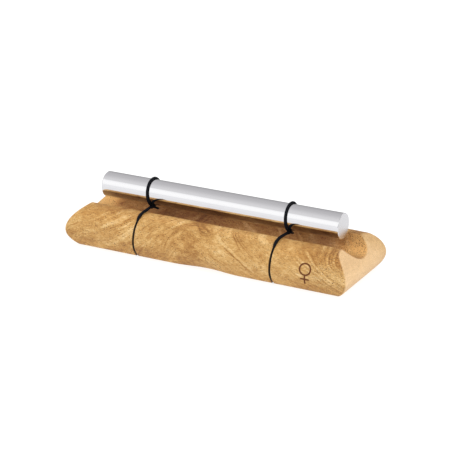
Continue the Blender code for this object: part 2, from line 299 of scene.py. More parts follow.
def block_points():
    """The block's skin as rings of points, and four masks on the same grid.

    Each station carries the section. The front is worn back by the hollow, sanding leaves a slow wave, the
    sign is pressed in along the normal, the kerfs are drawn in to their floor, and the stations near an end
    follow its curved face, which the rings past the last station close.
    """
    x = stations[:, None] + 0 * around
    y = ring[:, 0] + 0 * x
    z = ring[:, 1] + 0 * x
    along = np.clip(abs(x - HOLLOW_CENTRE_X) / (HOLLOW_LENGTH / 2), 0, 1)
    bell = HOLLOW_DEPTH * (0.5 + 0.5 * np.cos(np.pi * along))
    low = np.clip(1 - z / BULGE_HEIGHT, 0, 1) ** 2
    on_front = smooth_step(abs(y), HOLLOW_START_Y, foot_half_width - HOLLOW_CORNER)
    y += np.where(around < around_total / 2, bell * low, 0) * on_front
    wave = np.sin(WAVE_ALONG * x + WAVE_PHASES[0])
    wave *= np.sin(WAVE_ROUND * around + WAVE_SLANT * x + WAVE_PHASES[1])
    wave *= SANDED_WAVE * smooth_step(z, *WAVE_START_Z)
    burn_distance = sign_distance(x, around + 0 * x)
    half_line = 0.5 * SIGN_LINE
    burn = 1 - smooth_step(burn_distance, half_line - BURN_EDGE, half_line + BURN_EDGE)
    press = wave - SIGN_DEPTH * (1 - smooth_step(burn_distance, SIGN_FLOOR, half_line + SIGN_LIP))
    y += press * outward[:, 0]
    z += press * outward[:, 1]
    in_kerf = cut[:, None] * (mirrored_run < run_out_run)
    y += in_kerf * (kerf_floor[:, 0] - y)
    z += in_kerf * (kerf_floor[:, 1] - z)
    straight = BLOCK_LENGTH / 2 - END_REACH
    beyond = np.clip((abs(x) - straight) / END_REACH, 0, 1)
    reach_x = np.minimum(abs(x), straight) + beyond * (end_half_length(z) - END_EDGE - straight)
    body = np.stack([np.sign(x) * reach_x, y, z], axis=-1)
    points = np.concatenate([end_rings(-1, body[0])[::-1], body, end_rings(1, body[-1])])

    cap_end = np.concatenate([smooth_step(edge_turn[:, 0], *END_GRAIN_TURN), np.ones(face_shrink.size)])
    end = np.concatenate([cap_end[::-1], np.zeros(stations.size), cap_end])[:, None] + 0 * around
    trough = smooth_step(mirrored_run - rim_corner, *TROUGH_EDGE) * (1 - end)
    # Painted shade in the kerfs: where their walls are darkened.
    sawn = 1.0 * (cut[:, None] > KERF_SHADE_LEAST) * (mirrored_run < run_out_run - KERF_SHADE_SHORT)
    blank = np.zeros((cap_end.size, around.size))
    masks = {
        "end_grain": end,
        "trough": trough,
        "burn": np.concatenate([blank, burn, blank]),
        "sawn": np.concatenate([blank, sawn, blank]),
    }
    return points * MM, masks


def linked(name, data):
    """A new object for a mesh, a light or a camera, linked to the scene."""
    made = bpy.data.objects.new(name, data)
    bpy.context.scene.collection.objects.link(made)
    return made


def skin(name, points, masks, material):
    """A closed mesh from rings of points: four-sided faces between rings and one face on each end."""
    rings, count = points.shape[:2]
    index = np.arange(rings * count).reshape(rings, count)
    following = np.roll(index, -1, axis=1)
    quads = np.stack([index[:-1], index[1:], following[1:], following[:-1]], axis=-1)
    ends = [index[0].tolist(), index[-1, ::-1].tolist()]
    mesh = bpy.data.meshes.new(name)
    mesh.from_pydata(points.reshape(-1, 3), [], quads.reshape(-1, 4).tolist() + ends)
    for mask, values in masks.items():
        attribute = mesh.attributes.new(mask, "FLOAT", "POINT")
        attribute.data.foreach_set("value", np.ascontiguousarray(values, np.float32).ravel())
    mesh.shade_smooth()
    mesh.materials.append(material)
    return linked(name, mesh)


class Wire:
    """A socket in a node tree. Sums on wires and numbers add Math nodes."""

    def __init__(self, socket):
        self.socket = socket

    def node(self, kind, settings, inputs, output=0):
        """Adds a node: its settings first, then the values or links of its sockets."""
        tree = self.socket.id_data
        made = tree.nodes.new(kind)
        for key, value in settings.items():
            if key == "stops":
                first, *middle, last = value
                made.color_ramp.elements[0].position, made.color_ramp.elements[0].color = first
                made.color_ramp.elements[1].position, made.color_ramp.elements[1].color = last
                for place, colour in middle:
                    made.color_ramp.elements.new(place).color = colour
            else:
                setattr(made, key, value)
        for key, value in inputs.items():
            if isinstance(value, Wire):
                tree.links.new(value.socket, made.inputs[key])
            else:
                made.inputs[key].default_value = value
        return Wire(made.outputs[output])

    def beside(self, output):
        """Another output of the same node."""
        return Wire(self.socket.node.outputs[output])

    def feed(self, shader, socket):
        """Links this wire to a shader's socket."""
        self.socket.id_data.links.new(self.socket, shader.inputs[socket])

    def math(self, operation, *values):
        return self.node("ShaderNodeMath", {"operation": operation}, dict(enumerate(values)))

    def __add__(self, other):
        return self.math("ADD", self, other)

    def __sub__(self, other):
        return self.math("SUBTRACT", self, other)

    def __rsub__(self, other):
        return self.math("SUBTRACT", other, self)

    def __mul__(self, other):
        return self.math("MULTIPLY", self, other)

    def __truediv__(self, other):
        return self.math("DIVIDE", self, other)

    def __pow__(self, other):
        return self.math("POWER", self, other)

    def __rpow__(self, other):
        return self.math("POWER", other, self)

    __radd__ = __add__
    __rmul__ = __mul__


def scaled(vector, factor):
    """A vector times a number."""
    return vector.node("ShaderNodeVectorMath", {"operation": "SCALE"}, {0: vector, "Scale": factor})


def moved(vector, offset):
    """The sum of two vectors."""
    return vector.node("ShaderNodeVectorMath", {"operation": "ADD"}, {0: vector, 1: offset})


def split(vector):
    """A vector's three parts."""
    first = vector.node("ShaderNodeSeparateXYZ", {}, {0: vector})
    return first, first.beside(1), first.beside(2)


def join(x, y, z):
    """A vector from three parts, of which the first is a wire."""
    return x.node("ShaderNodeCombineXYZ", {}, {0: x, 1: y, 2: z})


def squared(value):
    """A value times itself."""
    return value * value


def eased(value, start, end):
    """0 before start, 1 after end, eased between."""
    inputs = {0: value, 1: start, 2: end, 3: 0.0, 4: 1.0}
    return value.node("ShaderNodeMapRange", {"interpolation_type": "SMOOTHSTEP"}, inputs)


def between(value, rise, fall):
    """1 between two eased edges: it rises over the first range and falls over the second."""
    return eased(value, *rise) * (1 - eased(value, *fall))


def off_middle(value, start, end):
    """0 within start of the middle, 1 past end on either side, eased between."""
    return eased(squared(value), start**2, end**2)


def mixed(share_of_second, first, second, blend="MIX"):
    """Two colours mixed by a wire, or the first multiplied by the second as far as the wire says."""
    settings = {"data_type": "RGBA", "blend_type": blend}
    return share_of_second.node("ShaderNodeMix", settings, {0: share_of_second, 6: first, 7: second}, 2)


def grain(place, detail=3.0, roughness=0.5):
    """Noise from 0 to 1 at one cell per unit of its vector."""
    values = {"Vector": place, "Scale": 1.0, "Detail": detail, "Roughness": roughness}
    return place.node("ShaderNodeTexNoise", {}, values)


def wander(place, detail, roughness, reach):
    """A vector of three noises, each from half the reach below zero to half above."""
    drift = grain(place, detail, roughness).beside(1)
    drift = drift.node("ShaderNodeVectorMath", {"operation": "SUBTRACT"}, {0: drift, 1: (0.5, 0.5, 0.5)})
    return scaled(drift, reach)


def cells(place):
    """Scattered cells: the distance to the nearest one's middle, and two random numbers of that cell."""
    values = {"Vector": place, "Scale": 1.0, "Randomness": 1.0}
    distance = place.node("ShaderNodeTexVoronoi", {}, values)
    chance = place.node("ShaderNodeSeparateColor", {}, {0: distance.beside(1)})
    return distance, chance, chance.beside(1)


def mask_of(place, name):
    """One of the piece's own point masks."""
    return place.node("ShaderNodeAttribute", {"attribute_name": name}, {}, 2)


def finish(name, **fixed):
    """A Principled material with fixed sockets set: returns it, its shader and Object coordinates in mm."""
    material = bpy.data.materials.new(name)
    material.use_nodes = True
    shader = material.node_tree.nodes["Principled BSDF"]
    for socket, value in fixed.items():
        shader.inputs[socket.replace("_", " ")].default_value = value
    place = Wire(shader.outputs[0]).node("ShaderNodeTexCoord", {}, {}, "Object")
    return material, shader, scaled(place, 1 / MM)


# The wood's colours, and the places of its marks as ranges in mm over which each one fades in or out.
WOOD_STOPS = [
    (0.22, (0.19, 0.08, 0.016, 1)),
    (0.37, (0.325, 0.15, 0.034, 1)),
    (0.50, (0.44, 0.238, 0.067, 1)),
    (0.63, (0.55, 0.338, 0.121, 1)),
    (0.82, (0.69, 0.497, 0.25, 1)),
]
PORE_COLOUR = (0.07, 0.026, 0.009, 1)
END_GRAIN_DARK = (0.66, 0.42, 0.195, 1)
END_GRAIN_PALE = (0.86, 0.595, 0.33, 1)
FAR_TOP = (14.0, 24.0)
TROUGH_TINT = (0.95, 0.8, 0.74, 1)
TROUGH_SHADE = (0.65, 0.61, 0.59, 1)
TROUGH_SHADE_Y = (-4.0, 4.0)
# Painted shade: the trough's floor darkened further over two stretches along it, as if in shadow.
TROUGH_PAINTED_SHADE = (0.73, 0.65, 0.6, 1)
TROUGH_PAINTED_SHADE_X = [((-46.0, -36.0), (-8.0, 2.0)), ((40.0, 46.0), (50.0, 57.0))]
# Painted light: the trough's mouths near the ends made paler, as if lit.
MOUTH_PAINTED_LIGHT = (0.7, 0.375, 0.117, 1)
TROUGH_MOUTH_X = (57.0, 63.0)
RIM_MIDDLE_X = (26.0, 42.0)
# Wear and painted light: the top of the rim's middle stretch made paler, as if worn and lit from above.
RIM_WEAR_AND_LIGHT = (1.19, 1.19, 1.22, 1)
RIM_WEAR_AND_LIGHT_Z = (16.9, 18.6)
RIM_BROWN = (0.97, 0.9, 0.8, 1)
RIM_BROWN_Z = (13.0, 16.5)
# Painted light: the foot made lighter and warmer, as if lit from the floor.
FOOT_PAINTED_LIGHT = (1.08, 1.03, 0.88, 1)
FOOT_Z = (2.0, 6.0)
# Painted shade: the kerfs' walls made nearly black, as if in shadow.
KERF_PAINTED_SHADE_COLOUR = (0.04, 0.017, 0.008, 1)
BURN_COLOUR = (0.1, 0.022, 0.004, 1)
EYE_X = (50.0, 62.0)
VEIN_END_X = (30.0, 44.0)
VEIN_WIDTH = 0.0005
PALE_TIP_X = (-68.0, -54.0)
PALE_TIP_Z = (4.0, 8.0)
PALE_END_X = (42.0, 52.0)
PALE_END_Z = ((4.0, 7.0), (12.0, 16.0))
WANDER_RATE = 0.03
WANDER_REACH = 16.0
ARCH_X = -4.0
ARCH_ROUND = 40.0
ARCH_SLOPE = 0.72
RING_TILT = 0.25

# Each knot's place and half sizes in mm, how far it lifts the rings, and how much it darkens the wood.
KNOTS = [
    {"x": -3.0, "z": 9.0, "wide": 5.0, "tall": 8.0, "lift": 6.0, "stain": 0.07},
    {"x": 71.0, "z": 16.0, "wide": 10.0, "tall": 11.0, "lift": 14.0, "stain": 0.0},
    {"x": -19.0, "z": 7.0, "wide": 4.0, "tall": 7.0, "lift": 4.0, "stain": 0.0},
]

# How much each layer of the figure lightens the wood's shade, or darkens it where the weight is negative.
SHADE_BASE = -0.602
LAYER_WEIGHTS = {
    "figure": 0.34,
    "fleck": 0.36,
    "mottle": 0.48,
    "fibre": 0.54,
    "tone": 0.42,
    "silk": 0.16,
    "contour": 0.08,
    "eye_contour": 0.16,
    "vein": -0.16,
    "eye": -0.11,
    "pale_tip": 0.15,
    "pale_end": 0.08,
}


def growth(place):
    """The place after a slow wander, as x, y and z, with the growth rings and the knots' stain there.

    The rings are level sets of the height plus an arch along x and a tilt along y, and each knot raises them
    in a bell-shaped mound.
    """
    x, y, z = split(moved(place, wander(scaled(place, WANDER_RATE), 4.0, 0.3, WANDER_REACH)))
    arch = (squared(x - ARCH_X) + ARCH_ROUND) ** 0.5
    rings = z + ARCH_SLOPE * arch + RING_TILT * y
    stain = 0.0
    for knot in KNOTS:
        across = (x - knot["x"]) / knot["wide"]
        up = (z - knot["z"]) / knot["tall"]
        mound = np.e ** (-1.0 * (squared(across) + squared(up)))
        rings = rings + knot["lift"] * mound
        stain = stain + knot["stain"] * mound
    return x, y, z, rings, stain


def figure_layers(x, y, z, rings):
    """The wood's figure as layers from 0 to 1. A number beside a coordinate is in cells per mm.

    Figure, contours, streaks of silk and veins are noise read across the rings; a vein is where its noise
    crosses the middle. Flecks, mottle and tone are noise of three sizes, and fibre is drawn out along x. The
    rest are places: the eye at the right, the pale left tip and the pale right end.
    """
    eye = eased(x, *EYE_X)
    contour = grain(join(rings * 0.6, x * 0.03, y * 0.05), 1.0, 0.4)
    streaks = eased(grain(join(rings * 0.42 + 7.0, x * 0.02, y * 0.04), 1.0, 0.4), 0.52, 0.7)
    silky = eased(grain(join(x * 0.06 + 3.0, y * 0.1, z * 0.1), 1.0), 0.38, 0.6)
    from_vein = squared(grain(join(rings * 0.22 + 11.0, x * 0.02, y * 0.03), 2.0, 0.4) - 0.5)
    veined = eased(grain(join(x * 0.07 + 5.0, y * 0.1, z * 0.12), 1.0), 0.4, 0.6)
    return {
        "figure": grain(join(rings * 0.2, x * 0.02, y * 0.04), 3.0, 0.5),
        "fleck": grain(join(rings * 0.9, x * 0.5, y * 0.8), 4.0, 0.75),
        "mottle": grain(join(x * 0.3, y * 0.45, z * 0.45), 6.0, 0.72),
        "fibre": grain(join(x * 0.6, y * 2.3, z * 2.3), 3.0, 0.7),
        "tone": grain(join(x * 0.04, y * 0.06, z * 0.08), 2.0),
        "silk": streaks * silky,
        "contour": contour,
        "eye_contour": eye * contour,
        "vein": (1 - eased(from_vein, 0.0, VEIN_WIDTH)) * veined * (1 - eased(x, *VEIN_END_X)),
        "eye": eye,
        "pale_tip": (1 - eased(x, *PALE_TIP_X)) * eased(z, *PALE_TIP_Z),
        "pale_end": eased(x, *PALE_END_X) * between(z, *PALE_END_Z),
    }


def pore_masks(place, x, y, z, rings, eye, trough):
    """Pores and small ticks: ragged cells drawn out along x, kept by each cell's chance.

    Pores are likelier, and grow, in bands of the rings and at the eye. Ticks are smaller, all over the wood.
    """
    ragged = wander(scaled(place, 3.0), 2.0, 0.6, 0.5)
    distance, chance, depth = cells(moved(join(x * (1.0 + 0.5 * eye), y * 2.5, z * 2.5), ragged))
    crowd = grain(join(rings * 0.34, x * 0.06, y * 0.06), 3.0, 0.6)
    likely = chance + 1.9 * crowd + 0.04 * trough + 0.22 * eye
    size = 0.1 + 0.13 * eased(likely, 1.4, 1.8) + 0.07 * eye
    pores = (1 - eased(distance, size, size + 0.16)) * eased(likely, 1.34, 1.42) * (0.55 + 0.65 * depth)
    distance, chance, _ = cells(moved(join(x * 1.25, y * 3.0, z * 3.0), ragged))
    ticks = (1 - eased(distance, 0.15, 0.45)) * eased(chance, 0.6, 0.8)
    return pores, ticks


def oiled_hardwood():
    """Figured hardwood as a solid, oiled.

    The layers of the figure add up to one shade, and a ramp turns it into colour. Over that come, in this
    order, the pricked end grain, the middle of the rim worn paler and painted lighter, the brown ends of the
    rim, the trough's arris worn paler with a painted highlight, painted light at the trough's mouths, ticks
    and pores, the trough's tint, painted shade on its front half and on two stretches of its floor, painted
    light on the foot, painted shade in the saw cuts and the burnt sign.
    """
    wood, shader, place = finish("oiled_hardwood", IOR=1.45)
    end, trough, sawn, burn = (mask_of(place, name) for name in ("end_grain", "trough", "sawn", "burn"))
    x, y, z, rings, stain = growth(place)
    layers = figure_layers(x, y, z, rings)
    shade = SHADE_BASE - stain + sum(weight * layers[name] for name, weight in LAYER_WEIGHTS.items())
    colour = shade.node("ShaderNodeValToRGB", {"stops": WOOD_STOPS}, {0: shade})

    lengthwise, crosswise, upright = split(place)
    speckle = grain(join(x * 0.3, y * 2.4, z * 1.9), 3.0, 0.7)
    pale = mixed(eased(speckle + 0.5 * layers["tone"], 0.45, 0.95), END_GRAIN_DARK, END_GRAIN_PALE)
    far_top = eased(upright + 0.5 * crosswise, *FAR_TOP)
    colour = mixed((0.86 - 0.45 * far_top) * end, colour, pale)

    side = (1 - trough) * (1 - end)
    rim_ends = off_middle(lengthwise, *RIM_MIDDLE_X)
    # Wear and painted light on the middle of the rim's top.
    colour = mixed(eased(upright, *RIM_WEAR_AND_LIGHT_Z) * side * (1 - rim_ends), colour, RIM_WEAR_AND_LIGHT, "MULTIPLY")
    colour = mixed(eased(upright, *RIM_BROWN_Z) * side * rim_ends, colour, RIM_BROWN, "MULTIPLY")
    # Wear and a painted highlight: a pale line along the trough's arris.
    arris = 4.0 * trough * (1 - trough)
    colour = mixed(0.45 * arris, colour, END_GRAIN_DARK)
    # Painted light at the trough's mouths.
    mouth = trough * off_middle(lengthwise, *TROUGH_MOUTH_X)
    colour = mixed(0.75 * mouth, colour, MOUTH_PAINTED_LIGHT)

    pores, ticks = pore_masks(place, x, y, z, rings, layers["eye"], trough)
    colour = mixed((0.5 - 0.16 * end) * ticks, colour, PORE_COLOUR)
    colour = mixed((0.95 - 0.7 * end) * pores, colour, PORE_COLOUR)
    colour = mixed(trough - mouth, colour, TROUGH_TINT, "MULTIPLY")
    front_half = trough * (1 - eased(crosswise, *TROUGH_SHADE_Y))
    colour = mixed(front_half, colour, TROUGH_SHADE, "MULTIPLY")
    # Painted shade over two stretches of the trough's floor.
    painted_shade_spans = sum(between(lengthwise, *ends) for ends in TROUGH_PAINTED_SHADE_X)
    colour = mixed(painted_shade_spans * (trough - mouth), colour, TROUGH_PAINTED_SHADE, "MULTIPLY")
    # Painted light on the foot.
    colour = mixed((1 - eased(upright, *FOOT_Z)) * (1 - end), colour, FOOT_PAINTED_LIGHT, "MULTIPLY")
    # Painted shade in the kerfs.
    colour = mixed(0.8 * sawn, colour, KERF_PAINTED_SHADE_COLOUR)
    colour = mixed(0.95 * burn, colour, BURN_COLOUR)
    colour.feed(shader, "Base Color")

    (0.44 + 0.22 * layers["fleck"] + 0.1 * end + 0.3 * burn).feed(shader, "Roughness")
    height = 0.4 * layers["fleck"] + 0.4 * layers["fibre"] - 0.7 * pores + 0.25 * end * speckle
    bump = {"Strength": 0.35, "Distance": 0.12 * MM, "Height": height}
    height.node("ShaderNodeBump", {}, bump).feed(shader, "Normal")
    return wood


block = skin("hardwood_block", *block_points(), oiled_hardwood())
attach(block, "base")
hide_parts("base_block")

# The chime rod: one solid bar of aluminium, drawn round and polished to a mirror, faced square at both
# ends with a small broken edge. Only the two cord loops hold it.
rod_low, rod_high = (np.array(corner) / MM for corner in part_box("chime_rod"))
ROD_CENTRE = (rod_low + rod_high) / 2
ROD_RADIUS = (rod_high[2] - rod_low[2]) / 2
ROD_HALF_LENGTH = (rod_high[0] - rod_low[0]) / 2
ROD_EDGE = 0.35
ROD_POLE = 0.04
ROD_SIDES = 160
ROD_COLOUR = (0.82, 0.82, 0.83, 1)
FACED_COLOUR = (0.76, 0.76, 0.77, 1)
FACED_SHARE = 0.6


def rod_points():
    """The rod as a turned profile: out across the end, round the broken edge, along and back in."""
    turn = np.linspace(0, 0.5 * np.pi, 7)
    face_r = np.linspace(ROD_POLE, ROD_RADIUS - ROD_EDGE, 24)[:-1]
    face_x = 0 * face_r + ROD_HALF_LENGTH
    edge_x = ROD_HALF_LENGTH - ROD_EDGE * (1 - np.cos(turn))
    edge_r = ROD_RADIUS - ROD_EDGE * (1 - np.sin(turn))
    length = np.linspace(edge_x[-1], -edge_x[-1], 90)[1:-1]
    profile_x = np.concatenate([face_x, edge_x, length, -edge_x[::-1], -face_x])
    profile_r = np.concatenate([face_r, edge_r, 0 * length + ROD_RADIUS, edge_r[::-1], face_r[::-1]])
    angle = np.linspace(0, 2 * np.pi, ROD_SIDES, endpoint=False)
    x = ROD_CENTRE[0] + profile_x[:, None] + 0 * angle
    y = ROD_CENTRE[1] + profile_r[:, None] * np.cos(angle)
    z = ROD_CENTRE[2] + profile_r[:, None] * np.sin(angle)
    faced = (profile_r < ROD_RADIUS - FACED_SHARE * ROD_EDGE)[:, None] + 0.0 * angle
    return np.stack([x, y, z], axis=-1) * MM, {"faced": faced}


def polished_aluminium():
    """Mirror-polished bar with faint drawing lines along X; the faced ends are matt with turning rings."""
    metal, shader, place = finish("polished_aluminium", Metallic=1.0)
    x, y, z = split(place)
    faced = mask_of(place, "faced")
    radius = (squared(y - ROD_CENTRE[1]) + squared(z - ROD_CENTRE[2])) ** 0.5
    lines = grain(join(x * 0.004, y * 1.3, z * 1.3), 4.0, 0.75)
    smears = grain(join(x * 0.05, y * 0.3, z * 0.3), 3.0, 0.6)
    turned = grain(join(radius * 6.0, x * 0.1, 0.0), 2.0)
    mixed(faced, ROD_COLOUR, FACED_COLOUR).feed(shader, "Base Color")
    (0.035 + 0.03 * smears + 0.02 * lines + faced * (0.15 + 0.08 * turned)).feed(shader, "Roughness")
    height = (1 - faced) * lines * 0.4 + faced * turned
    bump = {"Strength": 0.2, "Distance": 0.02 * MM, "Height": height}
    height.node("ShaderNodeBump", {}, bump).feed(shader, "Normal")
    return metal


rod = skin("polished_rod", *rod_points(), polished_aluminium())
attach(rod, "rod")
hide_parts("chime_rod")

# The cords: limp black braided twine, one length at each kerf. Each is pressed into its kerf round the
# block, spreads a little as it comes out over the rim, and is hitched round the rod, with the two cut
# ends at the front hitch.
CORD_RADIUS = 0.54
KERF_CORD_RADIUS = 0.58
KERF_SQUEEZE = 0.69
KERF_CORNER_TOP = KERF_FOOT_DEPTH + KERF_CORNER
SPAN_START = KERF_CORNER_TOP - 0.3
UNDER_END = KERF_CORNER_TOP + 0.6
UNDER_STEP = 0.3
SPAN_RADIUS = 0.68
RIM_SPREAD = 1.1
RIM_SPREAD_Z = (BULGE_HEIGHT + 8.4, BULGE_HEIGHT + 10.8)
RIM_TURN = 1.15
RIM_GAP = 0.4
RIM_OVERHANG = 1.4
ROD_AXIS = ROD_CENTRE[2]
LOOP_SEAT = 0.97
LOOP_RADIUS = ROD_RADIUS + LOOP_SEAT * CORD_RADIUS
LOOP_SHIFT = {"left": -1.5, "right": -0.3}
LOOP_LEAN = {"left": -0.075, "right": -0.055}
HITCH_ANGLE = np.radians(25.0)
HITCH_RADIUS = 0.48
HITCH_CORD = 0.48
HITCH_BITE = 0.05
HITCH_TURNS = 2.25
HITCH_PITCH = 0.85
HITCH_AIM = 1.2
TAIL_DIRECTIONS = [(1.0, -0.06, 0.10), (1.0, 0.16, -0.12)]
TAIL_LENGTHS = {"left": (4.0, 3.2), "right": (2.6, 2.0)}
TAIL_DROOP = (0, 0, -0.05)
TAIL_TAPER = 0.2
BRAID_STEP = 0.1
BRAID_SIDES = 28
BRAID_PITCH = 2.4
BRAID_STRANDS = 4
BRAID_DEPTH = 0.055
BRAID_MEAN = 0.7
BLUNT_LEAST = 0.02
LINE_STEP = 0.05
LINE_EASE = 0.3
LINE_EASE_POINTS = 16
ALONG_ROD = np.array([1.0, 0, 0])
UPWARDS = np.array([0, 0, 1.0])
TWINE_DARK = (0.0015, 0.002, 0.0035, 1)
TWINE_LIGHT = (0.0085, 0.0105, 0.016, 1)


def braided_tube(line, radius, facing, squeeze=1.0):
    """Rings of a braided tube along a line.

    Facing is the vector that a ring's first spoke leans to. Two sets of strands wind round the line, one
    each way, and the radius swells over whichever is on top. Squeeze narrows the tube along the first spoke,
    and what it loses there it gains across. Radius, facing and squeeze hold for the whole tube, or each has
    a value at every point.
    """
    ahead = np.gradient(line, axis=0)
    ahead /= np.linalg.norm(ahead, axis=1)[:, None]
    spoke = facing - (facing * ahead).sum(axis=1)[:, None] * ahead
    spoke /= np.linalg.norm(spoke, axis=1)[:, None]
    side = np.cross(ahead, spoke)
    turn = np.linspace(0, 2 * np.pi, BRAID_SIDES, endpoint=False)
    along = run_length(line)[:, None] * 2 * np.pi / BRAID_PITCH
    one_way = np.cos(BRAID_STRANDS * (turn + along))
    other_way = np.cos(BRAID_STRANDS * (turn - along))
    swell = 1 + BRAID_DEPTH * (np.maximum(one_way, other_way) - BRAID_MEAN)
    swell = swell * np.reshape(radius, (-1, 1))
    squeeze = np.reshape(squeeze, (-1, 1))
    narrow = (squeeze * spoke)[:, None] * np.cos(turn)[:, None]
    deep = ((2 - squeeze) * side)[:, None] * np.sin(turn)[:, None]
    return line[:, None] + swell[..., None] * (narrow + deep)


def blunt(line, radius):
    """Radii along a line that round off both of its ends over one radius."""
    along = run_length(line)
    from_end = np.minimum(along, along[-1] - along)
    return radius * np.sqrt(np.clip(1 - (1 - np.clip(from_end / radius, 0, 1)) ** 2, BLUNT_LEAST, 1))


def gathered(name, tubes, material):
    """One mesh from several tubes, each an array of rings, with closed ends."""
    mesh = bpy.data.meshes.new(name)
    points, faces, start = [], [], 0
    for tube in tubes:
        rings, count = tube.shape[:2]
        index = start + np.arange(rings * count).reshape(rings, count)
        following = np.roll(index, -1, axis=1)
        quads = np.stack([index[:-1], following[:-1], following[1:], index[1:]], axis=-1)
        faces += quads.reshape(-1, 4).tolist() + [index[0, ::-1].tolist(), index[-1].tolist()]
        points.append(tube.reshape(-1, 3) * MM)
        start += rings * count
    mesh.from_pydata(np.concatenate(points), [], faces)
    mesh.shade_smooth()
    mesh.materials.append(material)
    return linked(name, mesh)


def black_twine():
    """Black braided polyester: near-black blue, a little lighter on worn fibres, with a fibrous bump."""
    twine, shader, place = finish("black_twine", Specular_IOR_Level=0.18)
    fibre = grain(scaled(place, 6.0), 3.0, 0.7)
    worn = grain(scaled(place, 0.6), 2.0)
    mixed(fibre * worn, TWINE_DARK, TWINE_LIGHT).feed(shader, "Base Color")
    (0.62 + 0.3 * fibre).feed(shader, "Roughness")
    bump = {"Strength": 0.4, "Distance": 0.08 * MM, "Height": fibre}
    fibre.node("ShaderNodeBump", {}, bump).feed(shader, "Normal")
    return twine


def lifted(line, height):
    """A (y, z) line on the block moved outwards by a height."""
    return line + normals(np.gradient(line, axis=0)) * height


def rim_line():
    """The cord's middle line at the front, from low in the kerf to the rim, as (y, z) points.

    It lies on the kerf's floor and then on the rolled side, up to the rim of the trough.
    """
    in_kerf = lifted(floor_line[floor_line[:, 1] > SPAN_START], KERF_CORD_RADIUS)
    climb = np.sin(np.linspace(RIM_TURN, 0.5 * np.pi, 40))
    heights = BULGE_HEIGHT + (BLOCK_HEIGHT - BULGE_HEIGHT) * climb
    side = np.stack([-side_half_width(heights), heights], axis=-1)
    on_side = lifted(side, SPAN_RADIUS * (2 - RIM_SPREAD))
    return np.concatenate([in_kerf[in_kerf[:, 1] < on_side[0, 1] - RIM_GAP], on_side])


def in_plane(line, x, facing):
    """A (y, z) line set in the plane at x, mirrored to the rear where facing is -1."""
    return np.stack([0 * line[:, 0] + x, facing * line[:, 0], line[:, 1]], axis=-1)


# The hitch lies under the rod's front, and its axis leans from its middle towards the rim.
hitch_reach = ROD_RADIUS + HITCH_RADIUS + HITCH_CORD - HITCH_BITE
hitch_middle = np.array([-hitch_reach * np.sin(HITCH_ANGLE), ROD_AXIS - hitch_reach * np.cos(HITCH_ANGLE)])
up_line = rim_line()
rim_top = up_line[-1]
hitch_axis = rim_top + (HITCH_AIM, 0.0) - hitch_middle
hitch_axis /= np.linalg.norm(hitch_axis)


def lean(line, side):
    """Moves points along the rod, more the higher they are, because the loop isn't tied square."""
    shift = LOOP_SHIFT[side] + LOOP_LEAN[side] * (line[..., 2] - ROD_AXIS)
    return line + np.stack([shift, 0 * shift, 0 * shift], axis=-1)


def span_rings(side, facing):
    """The stretch from the kerf over the rim to the middle of the hitch, where it has the loop's lean.

    It is squeezed in the kerf, spread flat over the rim and round at the hitch.
    """
    route = even_line(np.concatenate([up_line, [rim_top + (RIM_OVERHANG, 0.0), hitch_middle]]), LINE_STEP)
    route = even_line(softened(route, LINE_STEP, LINE_EASE, LINE_EASE_POINTS, "edge"), BRAID_STEP)
    line = in_plane(route, CORD_PLANES[side], facing)
    crossed = smooth_step(abs(line[:, 1]), abs(rim_top[0]), abs(hitch_middle[0]))
    line = line + crossed[:, None] * (lean(line, side) - line)
    free = smooth_step(line[:, 2], *RIM_SPREAD_Z)
    radius = KERF_CORD_RADIUS + (SPAN_RADIUS - KERF_CORD_RADIUS) * free
    squeeze = KERF_SQUEEZE + (RIM_SPREAD - KERF_SQUEEZE) * free
    squeeze = squeeze + (1 - squeeze) * crossed
    return braided_tube(line, radius, ALONG_ROD, squeeze)


def under_rings(x):
    """The stretch that lies in the kerf: down the front, across under the block and up the rear."""
    half = lifted(floor_line[floor_line[:, 1] < UNDER_END], KERF_CORD_RADIUS)
    whole = np.concatenate([half[::-1], half[1:] * (-1, 1)])
    line = in_plane(even_line(whole, UNDER_STEP), x, 1)
    return braided_tube(line, KERF_CORD_RADIUS, ALONG_ROD, KERF_SQUEEZE)


def loop_rings(x):
    """The turn round the rod: a full circle that lies on it."""
    turn = np.linspace(0, 2 * np.pi, int(2 * np.pi * LOOP_RADIUS / BRAID_STEP) + 1)
    out = np.stack([0 * turn, np.cos(turn), np.sin(turn)], axis=-1)
    line = out * LOOP_RADIUS + (x, 0, ROD_AXIS)
    return braided_tube(line, CORD_RADIUS, out)


def hitch_rings(x, facing):
    """The turns of the hitch: a short helix round the end of the span."""
    turn = np.linspace(0, 2 * np.pi * HITCH_TURNS, 150)
    axis = np.array([0.0, facing * hitch_axis[0], hitch_axis[1]])
    out = np.cos(turn)[:, None] * ALONG_ROD + np.sin(turn)[:, None] * np.cross(axis, ALONG_ROD)
    along = HITCH_PITCH * (turn / (2 * np.pi) - HITCH_TURNS / 2)
    middle = np.array([x, facing * hitch_middle[0], hitch_middle[1]])
    line = middle + out * HITCH_RADIUS + along[:, None] * axis
    return braided_tube(line, blunt(line, HITCH_CORD), out)


def tail_rings(x, direction, length):
    """A cut end: a short tapered stretch that starts in the hitch and droops by the square of its run."""
    way = np.array(direction) / np.linalg.norm(direction)
    along = np.linspace(0, length, 40)[:, None]
    line = np.array([x, *hitch_middle]) + way * along + np.array(TAIL_DROOP) * along**2
    taper = 1 - TAIL_TAPER * along[:, 0] / length
    return braided_tube(line, taper * blunt(line, HITCH_CORD), UPWARDS)


